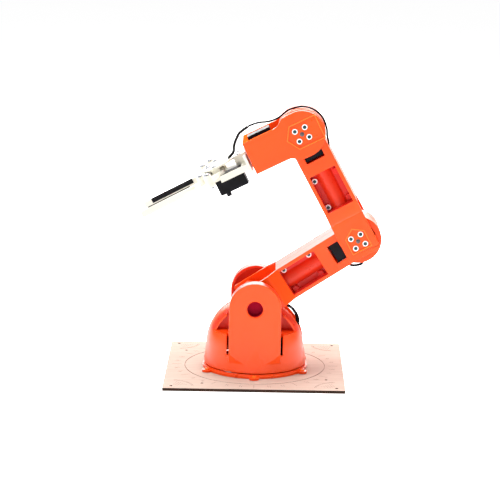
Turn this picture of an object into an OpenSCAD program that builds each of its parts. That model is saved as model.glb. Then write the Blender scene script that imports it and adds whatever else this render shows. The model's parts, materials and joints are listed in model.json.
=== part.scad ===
// Five-axis desktop robot arm with a two-finger parallel gripper, on a square plywood board.
// Millimetres, +Z up. The origin is the centre of the board's underside.
// The arm lies in the plane y = 0 and reaches towards -X; the near side is -Y.

/* [Pose] */
// Angle of the upper arm above the horizontal, towards +X
upper_angle = 33.3; // [15:0.1:165]
// Direction of the forearm, measured from +X
fore_angle = 118.5; // [30:0.1:208]
// How far the hand points below the horizontal, towards -X
hand_drop = 26.5; // [0:0.5:90]
// Angle of the gripper's drive links away from straight ahead
grip_angle = 73.8; // [10.8:0.1:73.8]

/* [Board] */
// Side of the square board
board_side = 185; // [150:1:220]
// Thickness of the board
board_t = 3; // [2:0.5:6]
// Distance between the corner holes
corner_pitch = 168; // [140:1:200]
// Radius of the corner holes
corner_hole_r = 1.6; // [1:0.1:3]
// Radius of the engraved dial circle
dial_r = 73.5; // [60:0.5:85]

/* [Base ring] */
// Outside radius of the fixed ring
ring_r = 55; // [50:0.5:60]
// Inside radius of the fixed ring
ring_in_r = 46; // [40:0.5:50]
// Top of the fixed ring
ring_top = 7.2; // [5:0.1:10]
// Radius at which the six fixing screws sit
tab_pitch_r = 57; // [54:0.5:62]
// Radius of each fixing tab
tab_r = 5.2; // [3:0.1:8]

/* [Dome] */
// Radius of the dome's sphere
dome_r = 51.5; // [45:0.5:60]
// Height of the sphere's centre
dome_z = 27; // [20:0.5:35]
// Radius of the skirt at its lower edge
skirt_r = 53.5; // [50:0.5:60]
// Height of the skirt's lower edge
skirt_z = 8.2; // [7.5:0.1:12]
// Wall thickness of the dome
dome_wall = 3; // [2:0.1:5]
// Height of the ledge that runs round the shoulder
ledge_z = 46; // [40:0.5:50]
// Half thickness of the two wings that stand on the ledge
wing_y = 21.5; // [15:0.5:25]
// Half width of the cable slot in the right wing
slot_y = 9; // [5:0.5:15]

/* [Yokes] */
// Height of the shoulder axis
shoulder_z = 75.5; // [70:0.5:80]
// Half width of each yoke, also the radius of its round top
yoke_r = 26.7; // [20:0.1:30]
// Distance of the yokes' outer faces from the arm's plane
yoke_out = 51.2; // [45:0.1:55]
// Distance of the yokes' inner faces from the arm's plane
yoke_in = 37; // [33:0.5:45]
// Radius of the round hole in each yoke
yoke_hole_r = 7.9; // [4:0.1:12]

/* [Links] */
// Distance between the axes of each link
link_len = 125; // [100:1:150]
// Half width of a link's body and cheeks
link_w = 18; // [14:0.5:22]
// Distance of a cheek's outer face from the arm's plane
cheek_out = 30; // [26:0.5:35]
// Distance of a cheek's inner face from the arm's plane
cheek_in = 25; // [22:0.5:30]
// Distance of a link body's face from the arm's plane
body_y = 21.5; // [18:0.5:25]
// Radius of the round servo housing at the end of a link
drum_r = 24.4; // [20:0.1:28]
// Wall thickness of the links
wall = 3; // [2:0.1:4]
// Half width of the long recess in a link
recess_w = 14.25; // [10:0.25:16]
// Distance of the recess floor from the arm's plane
recess_y = 8; // [5:0.5:15]

/* [Servos] */
// Length of a large servo's case
servo_l = 39.4; // [38:0.1:42]
// Width of a large servo's case
servo_w = 20; // [18:0.1:22]
// Height of a large servo's case
servo_h = 35; // [32:0.5:40]
// Distance from a large servo's shaft to the nearer end of its case
servo_off = 10; // [8:0.1:12]
// Radius of every servo's output spline
spline_r = 3; // [2:0.1:4]
// Running clearance round splines and pivots
run_gap = 0.05; // [0.02:0.01:0.09]
// Width of a small servo's case
small_w = 17; // [12:0.1:20]
// Length of a small servo's case
small_l = 31; // [22:0.1:35]

/* [Wrist] */
// Radius of the round end of the wrist's near cheek
wrist_r = 24; // [20:0.1:28]
// Radius of the round end of the far cheek
far_r = 22; // [18:0.1:28]
// Distance from the wrist axis to the wrist's front face
wrist_front = 59; // [50:0.5:70]
// Half height of the wrist body
wrist_w = 17.3; // [14:0.1:20]

/* [Gripper] */
// Distance from the wrist axis to the gear axes
gear_h = 96; // [90:0.5:105]
// Teeth on each gear
gear_teeth = 26; // [20:2:32]
// Gear module
gear_m = 1.5; // [1:0.25:2]
// Length of the parallel links
grip_link = 28.6; // [20:0.1:35]
// How far the idle link's pivot lies in front of the gear axis
idle_dh = 8; // [5:0.5:14]
// Distance of the idle link's pivot from the gripper's centre line
idle_s = 4.5; // [4:0.1:8]
// Distance from the wrist axis to the fingertips, open
tip_h = 184; // [165:1:200]
// Length of a grip pad
pad_len = 48; // [30:1:55]
// Height of a grip pad
pad_w = 5; // [3:0.1:8]
// Thickness of a grip pad
pad_t = 2; // [1:0.1:4]
// Distance of an open pad's face from the gripper's centre line
pad_s = 22.15; // [20:0.05:30]
// How far the fingers droop below the gripper's plane
finger_droop = 1.2; // [0:0.1:5]

/* [Screws] */
// Radius of the white washers
washer_r = 2.85; // [2:0.05:4]
// Half spacing of the four horn screws
horn_pitch = 5.5; // [4:0.1:7]

/* [Hidden] */
$fn = 48;
e = 0.01;
gear_s = gear_teeth * gear_m / 2;
gear_tip = gear_s + 0.8 * gear_m;
gear_root = gear_s - 1.1 * gear_m;
wrist_x = link_len * (cos(upper_angle) + cos(fore_angle));
wrist_z = shoulder_z + link_len * (sin(upper_angle) + sin(fore_angle));
floor_z = ledge_z - 3.6;
case_top = body_y - wall;
yoke_wall = 4.2;
grip_pts = [for (a = [grip_angle]) [grip_link * cos(a), grip_link * sin(a)]];
pin_a = [gear_h + grip_pts[0][0], gear_s + grip_pts[0][1]];
idle_h = gear_h + idle_dh;
pin_b = [idle_h + grip_pts[0][0], idle_s + grip_pts[0][1]];

orange = [1, 0.33, 0.12];
ivory = [0.95, 0.94, 0.86];
black = [0.06, 0.06, 0.07];
steel = [0.6, 0.6, 0.62];
white = [0.95, 0.95, 0.95];
wood = [0.87, 0.76, 0.66];

// ---- shared shapes ----

// A cylinder along Y from y0 to y1
module rod_y(r, y0, y1) translate([0, y1, 0]) rotate([90, 0, 0]) cylinder(r = r, h = y1 - y0);

// A cylinder along X from x0 to x1
module rod_x(r, x0, x1) translate([x0, 0, 0]) rotate([0, 90, 0]) cylinder(r = r, h = x1 - x0);

// A cylinder along Z from z0 to z1
module rod_z(r, z0, z1) translate([0, 0, z0]) cylinder(r = r, h = z1 - z0);

// A flat shape drawn in x and z, given depth from y0 to y1
module slab_y(y0, y1) translate([0, y1, 0]) rotate([90, 0, 0]) linear_extrude(y1 - y0) children();

// A box from one corner to the opposite one
module box(a, b) translate(a) cube(b - a);

// A rectangle with true round corners
module rrect(x0, x1, y0, y1, r) {
  translate([x0 + r, y0]) square([x1 - x0 - 2 * r, y1 - y0]);
  translate([x0, y0 + r]) square([x1 - x0, y1 - y0 - 2 * r]);
  for (x = [x0 + r, x1 - r], y = [y0 + r, y1 - r]) translate([x, y]) circle(r);
}

// Places a shape at each of the four horn screws, in the plane of a cheek
module at_horn_screws() {
  for (u = [-horn_pitch, horn_pitch], v = [-horn_pitch, horn_pitch]) translate([u, 0, v]) children();
}

// Frames of the moving parts: x runs along the part, y is depth, z is across
module at_shoulder() translate([0, 0, shoulder_z]) rotate([0, -upper_angle, 0]) children();
module at_elbow() at_shoulder() translate([link_len, 0, 0])
  rotate([0, upper_angle - fore_angle, 0]) children();
module at_wrist() translate([wrist_x, 0, wrist_z]) rotate([0, -hand_drop, 0])
  rotate([0, 0, 180]) children();

// Servo with its shaft up along Z and the top of its case at z = 0; its long end points to +X
module servo(l, w, h, off, flange_z, tail, head, bore_r) {
  difference() {
    union() {
      box([-off, -w / 2, -h], [l - off, w / 2, 0]);
      rod_z(bore_r + 3.2, -1, 1.6);
      if (tail > 0) box([l - off - 1, -w / 2, -flange_z - 2.5], [l - off + tail, w / 2, -flange_z]);
      if (head > 0) box([-off - head, -w / 2, -flange_z - 2.5], [-off + 1, w / 2, -flange_z]);
    }
    rod_z(bore_r + run_gap, -6.2, 2);
    if (tail > 0) for (y = [-w / 4, w / 4]) translate([l - off + tail - 3.2, y, 0]) rod_z(1.8, -20, 0);
    if (head > 0) for (y = [-w / 4, w / 4]) translate([-off - head + 3.2, y, 0]) rod_z(1.8, -20, 0);
  }
}

// A large servo inside a drum, its shaft to the near side and its case towards +X of the frame
module drum_servo(head) translate([0, -case_top, 0]) rotate([90, 0, 0])
  servo(servo_l, servo_w, servo_h, servo_off, 7, 0, head, spline_r);

// Round horn plate on the inside of a near cheek, with its spline
module horn_y() difference() {
  union() {
    rod_y(10.4, -cheek_in, -cheek_in + 2.9);
    rod_y(spline_r, -cheek_in + 1, -15);
  }
  at_horn_screws() rod_y(1, -cheek_in - 1, -cheek_in + 4);
  rod_y(1.2, -cheek_in - 1, -18);
}

// Four horn screws and the larger middle one, heads outwards
module horn_screws_y() {
  at_horn_screws() {
    rod_y(1, -cheek_out + 0.8, -cheek_in + 2.9);
    rod_y(1.9, -cheek_out + 0.1, -cheek_out + 0.8);
  }
  rod_y(1.2, -cheek_out + 1, -18);
  rod_y(2.3, -cheek_out - 0.1, -cheek_out + 1);
}

// White washers sunk round the horn screws
module washers_y() at_horn_screws() difference() {
  rod_y(washer_r, -cheek_out - 0.1, -cheek_out + 1);
  rod_y(1.9, -cheek_out - 1, -cheek_out + 0.8);
  rod_y(1, -cheek_out, -cheek_out + 2);
}

// Cuts for the sunk house-shaped field and its screws in a near cheek
module cheek_cuts(house) {
  slab_y(-cheek_out - 1, -cheek_out + 1) polygon(house);
  at_horn_screws() rod_y(1, -cheek_out - 1, -cheek_in + 1);
  rod_y(1.2, -cheek_out - 1, -cheek_in + 1);
}

// Pivot pin through a far cheek into the drum's wall, with a spacer between them
module pin_y() {
  rod_y(3.5, body_y - wall + 0.2, cheek_out);
  rod_y(6.2, body_y + 0.1, cheek_in);
  rod_y(5.4, cheek_out, cheek_out + 1.8);
}

// ---- base ----

module base_board() color(wood) difference() {
  translate([-board_side / 2, -board_side / 2, 0]) cube([board_side, board_side, board_t]);
  for (x = [-corner_pitch / 2, corner_pitch / 2], y = [-corner_pitch / 2, corner_pitch / 2])
    translate([x, y, 0]) rod_z(corner_hole_r, -1, board_t + 1);
  for (p = [[-74.8, 55.3], [-53, -72.3], [74, -53.2]]) translate(p) rod_z(1.4, -1, board_t + 1);
  for (a = [30:60:330]) rotate(a) translate([tab_pitch_r, 0, 0]) rod_z(1.2, -1, board_t + 1);
  for (a = [45:90:315]) rotate(a) translate([40, 0, 0]) rod_z(1.2, -1, board_t + 1);
  difference() {
    rod_z(dial_r + 0.3, board_t - 0.3, board_t + 1);
    rod_z(dial_r - 0.3, board_t - 1, board_t + 2);
  }
}

module base_ring() color(orange) difference() {
  union() {
    translate([0, 0, board_t]) linear_extrude(ring_top - 1.6 - board_t) {
      circle(ring_r);
      for (a = [30:60:330]) rotate(a) translate([tab_pitch_r, 0]) circle(tab_r);
    }
    rod_z(ring_r - 1.2, board_t + 1, ring_top);
    for (a = [-110, -70, 70, 110]) rotate(a) translate([ring_r - 0.5, 0, 0])
      rod_z(1.6, board_t + 1, ring_top - 0.6);
  }
  rod_z(ring_in_r, 0, 20);
  for (a = [30:60:330]) rotate(a) translate([tab_pitch_r, 0, 0]) rod_z(1.2, 0, 20);
}

module base_ring_screws() color(steel) for (a = [30:60:330]) rotate(a) translate([tab_pitch_r, 0, 0]) {
  rod_z(1.2, 0.4, ring_top - 1.6);
  rod_z(2.5, ring_top - 1.6, ring_top - 0.2);
}

module servo_tower() color(orange) difference() {
  union() {
    rod_z(ring_in_r - 0.5, board_t, board_t + 3);
    for (x = [-16.6, 29.4]) box([x, -10, board_t], [x + 6.6, 10, 28.9]);
  }
  box([-10, -10.2, 0], [29.4, 10.2, 40]);
  for (y = [-5, 5], x = [-13.8, 33.2]) translate([x, y, 0]) rod_z(1.2, 10, 40);
  for (a = [45:90:315]) rotate(a) translate([40, 0, 0]) rod_z(1.2, 0, 20);
}

module base_servo() color(black) translate([0, 0, 38.4])
  servo(servo_l, servo_w, servo_h, servo_off, 7, 7, 7, spline_r);

// ---- turntable and dome ----

module turntable_horn() color(white) difference() {
  union() {
    rod_z(10.4, floor_z - 2.2, floor_z);
    rod_z(spline_r, 34, floor_z);
  }
  for (x = [-horn_pitch, horn_pitch], y = [-horn_pitch, horn_pitch]) translate([x, y, 0]) rod_z(1, 20, 60);
  rod_z(1.2, 35, 60);
}

module turntable_floor() color(orange) difference() {
  rod_z(44.3, floor_z, ledge_z);
  for (x = [-horn_pitch, horn_pitch], y = [-horn_pitch, horn_pitch]) translate([x, y, 0]) rod_z(1, 20, 60);
  rod_z(1.2, 35, 60);
  box([36, -slot_y, 0], [50, slot_y, 60]);
}

module turntable_screws() color(steel) {
  for (x = [-horn_pitch, horn_pitch], y = [-horn_pitch, horn_pitch])
    translate([x, y, 0]) rod_z(1, floor_z - 2.2, ledge_z);
  rod_z(1.2, 35, ledge_z);
}

// Solid of revolution under the dome: a sphere on a slightly conical skirt, shrunk by d
module dome_solid(d) {
  intersection() {
    translate([0, 0, dome_z]) sphere(dome_r - d);
    rod_z(80, dome_z - e, 120);
  }
  translate([0, 0, skirt_z]) cylinder(r1 = skirt_r - d, r2 = dome_r - d, h = dome_z - skirt_z);
}

// One yoke, on the near side
module yoke_solid() {
  slab_y(-yoke_out, -yoke_in) {
    translate([0, shoulder_z]) circle(yoke_r);
    translate([-yoke_r, ledge_z - e]) square([2 * yoke_r, shoulder_z - ledge_z + e]);
  }
  intersection() {
    box([-yoke_r, -yoke_out, 14], [yoke_r, -30, ledge_z]);
    translate([0, 0, 14]) cylinder(r1 = 50.6, r2 = 60.6, h = 20);
  }
  box([-yoke_r, -yoke_out, 33.9], [yoke_r, -30, ledge_z]);
}

// Cuts that hollow one yoke from its inner side and open its round hole
module yoke_cuts() {
  difference() {
    slab_y(-yoke_out + yoke_wall, -yoke_in + 1) {
      translate([0, shoulder_z]) circle(yoke_r - 3);
      translate([-yoke_r + 3, ledge_z]) square([2 * yoke_r - 6, shoulder_z - ledge_z]);
    }
    translate([0, 0, shoulder_z]) rod_y(yoke_hole_r + 3, -yoke_out, -yoke_in + 2);
  }
  translate([0, 0, shoulder_z]) {
    rod_y(yoke_hole_r, -yoke_out - 1, -yoke_out + 8);
    translate([0, -yoke_out - e, 0]) rotate([-90, 0, 0])
      cylinder(r1 = yoke_hole_r + 1, r2 = yoke_hole_r, h = 1);
  }
  // narrow slots between the yoke and the dome
  for (x = [-yoke_r - 2.2, yoke_r]) box([x, -60, 25], [x + 2.2, -20, ledge_z + 30]);
}

module dome_half() difference() {
  union() {
    difference() {
      union() {
        intersection() {
          dome_solid(0);
          union() {
            rod_z(80, 0, ledge_z);
            box([-60, -wing_y, ledge_z - e], [60, 0, 100]);
          }
        }
        yoke_solid();
      }
      intersection() {
        dome_solid(dome_wall);
        rod_z(80, 0, ledge_z);
      }
      rod_z(44.3, floor_z, ledge_z);
      // inside of the wings
      intersection() {
        dome_solid(dome_wall);
        box([-60, -wing_y + 9, ledge_z - 1], [60, 1, 100]);
      }
      // sunk triangular fields on the wings' faces
      intersection() {
        dome_solid(2.2);
        for (x = [-60, yoke_r]) box([x, -wing_y - 1, ledge_z], [x + 60 - yoke_r, -wing_y + 6.5, 100]);
      }
      // the middle is open for the shoulder housing
      box([-24.8, -yoke_in + e, ledge_z], [24.8, 1, 100]);
      translate([0, 0, shoulder_z]) rod_y(24.8, -yoke_in + e, 1);
      // cable slot in the right wing
      box([20, -slot_y, 22], [60, 1, 100]);
    }
  }
  yoke_cuts();
  box([-80, 0, 0], [80, 80, 140]);
}

module dome_near() color(orange) dome_half();
module dome_far() color(orange) mirror([0, 1, 0]) dome_half();

// Outline of the case round the shoulder servo
module housing_outline() translate([0, shoulder_z])
  polygon([[-14, ledge_z - shoulder_z], [14, ledge_z - shoulder_z], [14, 9.5], [9.5, 14], [-9.5, 14], [-14, 9.5]]);

// The servo's space inside that case
module housing_cavity() translate([-11, ledge_z]) square([22, shoulder_z + 11 - ledge_z]);

module shoulder_housing_near() color(orange) difference() {
  slab_y(-body_y, 0) housing_outline();
  slab_y(-case_top, 1) housing_cavity();
  translate([0, 0, shoulder_z]) rod_y(8, -30, 0);
  // slot for the servo's upper ear
  box([-10.3, -case_top + 6.7, shoulder_z], [10.3, -case_top + 9.8, 120]);
}

module shoulder_housing_far() color(orange) difference() {
  slab_y(0, body_y) housing_outline();
  slab_y(-1, case_top) housing_cavity();
  translate([0, 0, shoulder_z]) rod_y(3.5 + run_gap, 0, 30);
}

module shoulder_servo() color(black) translate([0, 0, shoulder_z]) rotate([0, 90, 0]) drum_servo(7);

// ---- links ----

// Outline of a link's body in x and z, shrunk by d
module link_outline(d) {
  translate([36 + d, -link_w + d]) square([link_len - 36 - d, 2 * (link_w - d)]);
  translate([link_len, 0]) circle(drum_r - d);
}

// The near half shell of a link; plain = true leaves out the house field and the horn's holes
module link_half(plain) {
  house = [[-9.6, -10.4], [7, -10.4], [14.3, 0], [7, 10.4], [-9.6, 10.4]];
  difference() {
    union() {
      slab_y(-cheek_out, -cheek_in) {
        rrect(-17, 20, -link_w, link_w, 3);
        translate([0, -link_w]) square([24, 2 * link_w]);
      }
      translate([0, 0, -link_w]) linear_extrude(2 * link_w)
        polygon([[20, -cheek_out], [26, -cheek_out], [28, -28.3], [38.4, -body_y], [38.4, -case_top],
          [36, -case_top], [26, -cheek_in], [20, -cheek_in]]);
      slab_y(-body_y, 0) link_outline(0);
    }
    // long recess, the space behind its floor, and the servo's space
    box([38.4, -30, -recess_w], [80, -recess_y, recess_w]);
    box([38.4, -recess_y + 2.5, -link_w + wall], [80.2, 1, link_w - wall]);
    intersection() {
      slab_y(-case_top, 1) link_outline(wall);
      box([82.6, -40, -40], [160, 40, 40]);
    }
    box([80, -5, -6], [84, 1, 6]);
    slab_y(-30, -case_top + 1) rrect(93.8, 106.4, -10.2, 10.2, 1);
    if (plain) {
      translate([link_len, 0, 0]) rod_y(3.5 + run_gap, -30, 0);
      rod_y(3.5, -40, -20);
    } else {
      translate([link_len, 0, 0]) rod_y(8, -30, -10);
      cheek_cuts(house);
      // cable slot and dimple on the drum's face
      slab_y(-30, -body_y + 2) translate([link_len, 0]) rrect(17, 18.4, -5, 5, 0.6);
      translate([link_len - 2.3, 0, -16.5]) rod_y(1.6, -30, -body_y + 1.2);
      for (u = [42.5, 73]) translate([u, 0, 12]) rod_y(1.1, -30, 0);
    }
  }
  // rounded duct along the recess floor
  difference() {
    translate([0, -3.6, 0]) rod_x(9.2, 38.4, 80);
    translate([0, -3.6, 0]) rod_x(7, 30, 90);
    box([30, -recess_y, -20], [90, 20, 20]);
  }
  // screw bosses on the recess floor
  for (u = [42.5, 73], v = [-12, 12]) translate([u, 0, v]) difference() {
    intersection() {
      rod_y(3.3, -recess_y - 3.4, -recess_y);
      box([-5, -30, -recess_w - v], [5, 0, recess_w - v]);
    }
    if (!plain && v > 0) rod_y(1.1, -30, 0);
  }
}

// Screws that clamp a link's two half shells together
module link_screws() for (u = [42.5, 73]) translate([u, 0, 12]) {
  rod_y(1.1, -recess_y - 3.4 - 0.6, -recess_y + 2.4);
  rod_y(1.7, -recess_y - 4.4, -recess_y - 3.4);
}

module link_washers() {
  washers_y();
  for (u = [42.5, 73]) translate([u, 0, 12]) difference() {
    intersection() {
      rod_y(2.9, -recess_y - 4.3, -recess_y - 3.4);
      box([-5, -30, -5], [5, 0, recess_w - 12 - e]);
    }
    rod_y(1.7, -30, 0);
  }
}

module upper_near() color(orange) at_shoulder() link_half(false);
module upper_far() color(orange) at_shoulder() mirror([0, 1, 0]) link_half(true);
module upper_horn() color(white) at_shoulder() horn_y();
module upper_horn_screws() color(steel) at_shoulder() horn_screws_y();
module upper_washers() color(white) at_shoulder() link_washers();
module upper_shell_screws() color(steel) at_shoulder() link_screws();
module upper_pin() color(steel) at_shoulder() pin_y();
module elbow_servo() color(black) at_shoulder() translate([link_len, 0, 0])
  rotate([0, 180, 0]) drum_servo(7);

module fore_near() color(orange) at_elbow() link_half(false);
module fore_far() color(orange) at_elbow() mirror([0, 1, 0]) link_half(true);
module fore_horn() color(white) at_elbow() horn_y();
module fore_horn_screws() color(steel) at_elbow() horn_screws_y();
module fore_washers() color(white) at_elbow() link_washers();
module fore_shell_screws() color(steel) at_elbow() link_screws();
module fore_pin() color(steel) at_elbow() pin_y();
module wrist_servo() color(black) at_elbow() translate([link_len, 0, 0])
  rotate([0, 180, 0]) drum_servo(7);

// ---- wrist: its frame has the near side at +y, so near parts are mirrored ----

// Outline of a cheek: a round end of radius r that flows into the straight body
module wrist_cheek(r) {
  circle(r);
  translate([0, -wrist_w]) square([wrist_front, 2 * wrist_w]);
  for (k = [-1, 1]) polygon([[0, 15 * k], [0, r * k], [6, r * k], [11, (r - 0.5) * k], [13.6, (r - 1.8) * k],
    [18.5, (wrist_w + 1.2) * k], [21, (wrist_w + 0.2) * k], [25, wrist_w * k], [25, 15 * k]]);
}

module wrist_half(plain) difference() {
  union() {
    slab_y(-cheek_out, -cheek_in) wrist_cheek(plain ? far_r : wrist_r);
    box([27, -cheek_in, -wrist_w], [wrist_front, 0, -wrist_w + wall]);
    box([wrist_front - 6, -cheek_in, -wrist_w], [wrist_front, 0, wrist_w]);
  }
  rod_x(8.5, 40, 80);
  if (plain) rod_y(3.5, -40, -20);
  else cheek_cuts([[-26, -12.4], [8.3, -12.4], [16, 0], [8.3, 12.4], [-26, 12.4]]);
}

module wrist_near() color(orange) at_wrist() mirror([0, 1, 0]) wrist_half(false);
module wrist_far() color(orange) at_wrist() wrist_half(true);
module wrist_horn() color(white) at_wrist() mirror([0, 1, 0]) horn_y();
module wrist_horn_screws() color(steel) at_wrist() mirror([0, 1, 0]) horn_screws_y();
module wrist_washers() color(white) at_wrist() mirror([0, 1, 0]) washers_y();
module wrist_pin() color(steel) at_wrist() mirror([0, 1, 0]) pin_y();

module roll_servo() color(black) at_wrist() translate([wrist_front - 6, 0, 0]) rotate([0, 90, 0])
  servo(small_l, small_w, 24.5, 18.8, 5, 0, 0, 2.5);

// ---- gripper ----

module roll_horn() color(white) at_wrist() difference() {
  union() {
    rod_x(9.5, wrist_front + 0.6, wrist_front + 2.4);
    rod_x(2.5, wrist_front - 11, wrist_front + 1);
  }
  for (a = [45:90:315]) rotate([a, 0, 0]) translate([0, 6.5, 0]) rod_x(0.9, 50, 80);
}

module palm_bracket() color(ivory) at_wrist() difference() {
  union() {
    // rear plate, side walls and base plate
    box([wrist_front + 2.4, -30.8, -12.6], [wrist_front + 5.4, 30.8, 4.9]);
    for (s = [-30.8, 28.4]) box([wrist_front + 5.4, s, -9.6], [95, s + 2.4, -3.2]);
    translate([0, 0, -6.5]) linear_extrude(3.3)
      polygon([[64.4, -30.8], [103.5, -30.8], [117, -19], [117, 19], [103.5, 30.8], [64.4, 30.8]]);
    // neck that carries the top plate
    box([wrist_front + 5.4, -13, -3.2], [75, 13, 4.9]);
  }
  box([gear_h - small_l + 5.3, 10.8, -10], [gear_h + 5.7, 28.2, 0]);
  translate([gear_h, -gear_s, 0]) rod_z(1.8, -10, 0);
  for (a = [45:90:315]) rotate([a, 0, 0]) translate([0, 6.5, 0]) rod_x(0.9, 50, 68);
  for (s = [-9, 9]) translate([69.2, s, 0]) rod_z(1.1, -2, 6);
  for (h = [gear_h - small_l + 3.2, gear_h + 8.1], s = [15, 24]) translate([h, s, 0]) rod_z(1.1, -7, 0);
}

module palm_top() color(ivory) at_wrist() difference() {
  translate([0, 0, 4.9]) linear_extrude(2) {
    polygon([[61.4, -13], [76, -13], [84, -23], [101, -24.5], [109, -10], [109, 10], [101, 24.5],
      [84, 23], [76, 13], [61.4, 13]]);
    for (s = [-gear_s, gear_s]) translate([gear_h, s]) circle(6.4);
  }
  translate([0, 0, 4]) linear_extrude(4) rrect(80, 92.5, 13.2, 14.8, 0.7);
  for (s = [-gear_s, gear_s]) translate([gear_h, s, 0]) rod_z(1.8, 0, 10);
  for (s = [-idle_s, idle_s]) translate([idle_h, s, 0]) rod_z(1.6, 0, 10);
  for (s = [-9, 9]) translate([69.2, s, 0]) rod_z(1.1, 0, 10);
}

// Small servo that drives the near gear, with the exit of its lead underneath
module grip_servo() color(black) at_wrist() {
  translate([gear_h, gear_s, -3.4]) rotate([0, 0, 180]) difference() {
    union() {
      box([-5.5, -small_w / 2, -18.8], [small_l - 5.5, small_w / 2, 0]);
      box([-10.5, -small_w / 2, -5.1], [small_l - 1.5, small_w / 2, -3.1]);
      translate([2, -3, 0]) rod_z(2.6, -22.8, -18);
    }
    rod_z(2.5 + run_gap, -6.2, 1);
    for (h = [-8.1, small_l - 3.2], s = [-4.5, 4.5]) translate([h, s, 0]) rod_z(1.1, -10, 0);
  }
}

// Gear pins, idle pins, neck screws and servo screws
module palm_screws() color(steel) at_wrist() {
  translate([gear_h, gear_s, 0]) rod_z(1.8, -0.6, 6.9);
  translate([gear_h, -gear_s, 0]) rod_z(1.8, -6.5, 6.9);
  for (s = [-gear_s, gear_s]) translate([gear_h, s, 0]) rod_z(2.9, 6.9, 8.5);
  for (s = [-idle_s, idle_s]) translate([idle_h, s, 0]) {
    rod_z(1.6, 1.2, 6.9);
    rod_z(2.7, 6.9, 8.5);
  }
  for (s = [-9, 9]) translate([69.2, s, 0]) {
    rod_z(1.1, -1.8, 6.9);
    rod_z(2, 6.9, 7.9);
  }
}

// Involute of the base circle at roll angle t, in degrees
function inv_pt(rb, t) = [rb * (cos(t) + t * PI / 180 * sin(t)), rb * (sin(t) - t * PI / 180 * cos(t))];
// Roll angle at which the involute reaches radius r
function inv_roll(rb, r) = sqrt(pow(r / rb, 2) - 1) * 180 / PI;
function turn(p, a) = [p[0] * cos(a) - p[1] * sin(a), p[0] * sin(a) + p[1] * cos(a)];

// One gear tooth along +X; its flanks are involutes thinned for backlash
module tooth() {
  rb = gear_s * cos(20);
  half = 90 / gear_teeth - 0.28;
  off = half + (tan(20) * 180 / PI - 20);
  steps = [for (i = [0:6]) i / 6 * inv_roll(rb, gear_tip)];
  low = [for (t = steps) turn(inv_pt(rb, t), -off)];
  high = [for (i = [6:-1:0]) [low[i][0], -low[i][1]]];
  polygon(concat([[gear_root - 2, low[0][1]]], low, high, [[gear_root - 2, -low[0][1]]]));
}

// Toothed sector of the near gear, about its own axis: the centre line is towards -y
module gear_sector(phase) {
  intersection() {
    union() {
      circle(gear_root);
      for (i = [-1:6]) rotate(-90 + (i + phase) * 360 / gear_teeth) tooth();
    }
    polygon([[0, 0], 30 * [cos(-112), sin(-112)], 40 * [cos(-60), sin(-60)], 30 * [cos(2), sin(2)]]);
  }
  circle(8);
}

// Drive link with its gear sector; the link points at grip_angle from the gear axis
module drive_link(phase) difference() {
  union() {
    translate([0, 0, -2.9]) linear_extrude(3.8) {
      gear_sector(phase);
      rotate(grip_angle) translate([0, -4.2]) square([grip_link, 8.4]);
      translate(grip_pts[0]) circle(4.5);
    }
    rod_z(5, 0.8, 4.7);
    translate(grip_pts[0]) rod_z(4.1, 0.8, 5.9);
  }
  rod_z(1.8 + run_gap, -0.6, 6);
  translate(grip_pts[0]) rod_z(1.6 + run_gap, -4, 7);
}

module drive_near() color(ivory) at_wrist() translate([gear_h, gear_s, 0]) {
  drive_link(0);
  rod_z(2.5, -8.5, -2.9);
}

module drive_far() color(ivory) at_wrist() mirror([0, 1, 0]) translate([gear_h, gear_s, 0])
  difference() {
    drive_link(0.5);
    rod_z(1.8 + run_gap, -4, 6);
  }

module idle_link() translate([idle_h, idle_s, 0]) difference() {
  union() {
    translate([0, 0, 1.1]) linear_extrude(3) {
      circle(4);
      rotate(grip_angle) translate([0, -3.5]) square([grip_link, 7]);
      translate(grip_pts[0]) circle(4.5);
    }
    translate(grip_pts[0]) rod_z(4.1, 4, 5.9);
  }
  rod_z(1.6 + run_gap, 0, 8);
  translate(grip_pts[0]) rod_z(1.6 + run_gap, 0, 8);
}

module idle_near() color(ivory) at_wrist() idle_link();
module idle_far() color(ivory) at_wrist() mirror([0, 1, 0]) idle_link();

// The long fingers droop a little from this point on
module droop() translate([118, 0, 0]) rotate([0, finger_droop, 0]) translate([-118, 0, 0]) children();

module finger() {
  difference() {
    union() {
      translate([0, 0, -6.5]) linear_extrude(3.4) {
        translate(pin_a) circle(4.6);
        translate(pin_b) circle(4.9);
        polygon([pin_a + [-4, -2.2], pin_b + [-4.3, -2.3], [126, pad_s + pad_t], [133, pad_s + pad_t],
          [133, pad_s + 6], [124, 31], pin_b + [4.2, 2.6], pin_a + [4, 2.2]]);
      }
      translate(pin_b) rod_z(4, -3.2, 0.9);
      droop() difference() {
        translate([122, pad_s + pad_t, -6.6]) cube([tip_h - 122, 3.9, 6.6]);
        // taper towards the tip
        translate([150, pad_s + pad_t + 3.9, -10]) rotate([0, 0, -3]) cube([40, 5, 20]);
      }
    }
    translate(pin_a) rod_z(1.6, -8, 8);
    translate(pin_b) rod_z(1.6, -8, 8);
  }
}

module finger_screws() for (p = [pin_a, pin_b]) translate(p) {
  rod_z(1.6, -6.5, 5.9);
  rod_z(2.9, 6, 7.9);
  rod_z(1.6, 5.9, 6.1);
  rod_z(2.6, -8.9, -6.5);
}

module pad() droop() box([127, pad_s, -4.2], [127 + pad_len, pad_s + pad_t, -4.2 + pad_w]);

module finger_near() color(ivory) at_wrist() finger();
module finger_far() color(ivory) at_wrist() mirror([0, 1, 0]) finger();
module finger_screws_near() color(steel) at_wrist() finger_screws();
module finger_screws_far() color(steel) at_wrist() mirror([0, 1, 0]) finger_screws();
module pad_near() color(black) at_wrist() pad();
module pad_far() color(black) at_wrist() mirror([0, 1, 0]) pad();

// ---- cable leads ----

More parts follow.
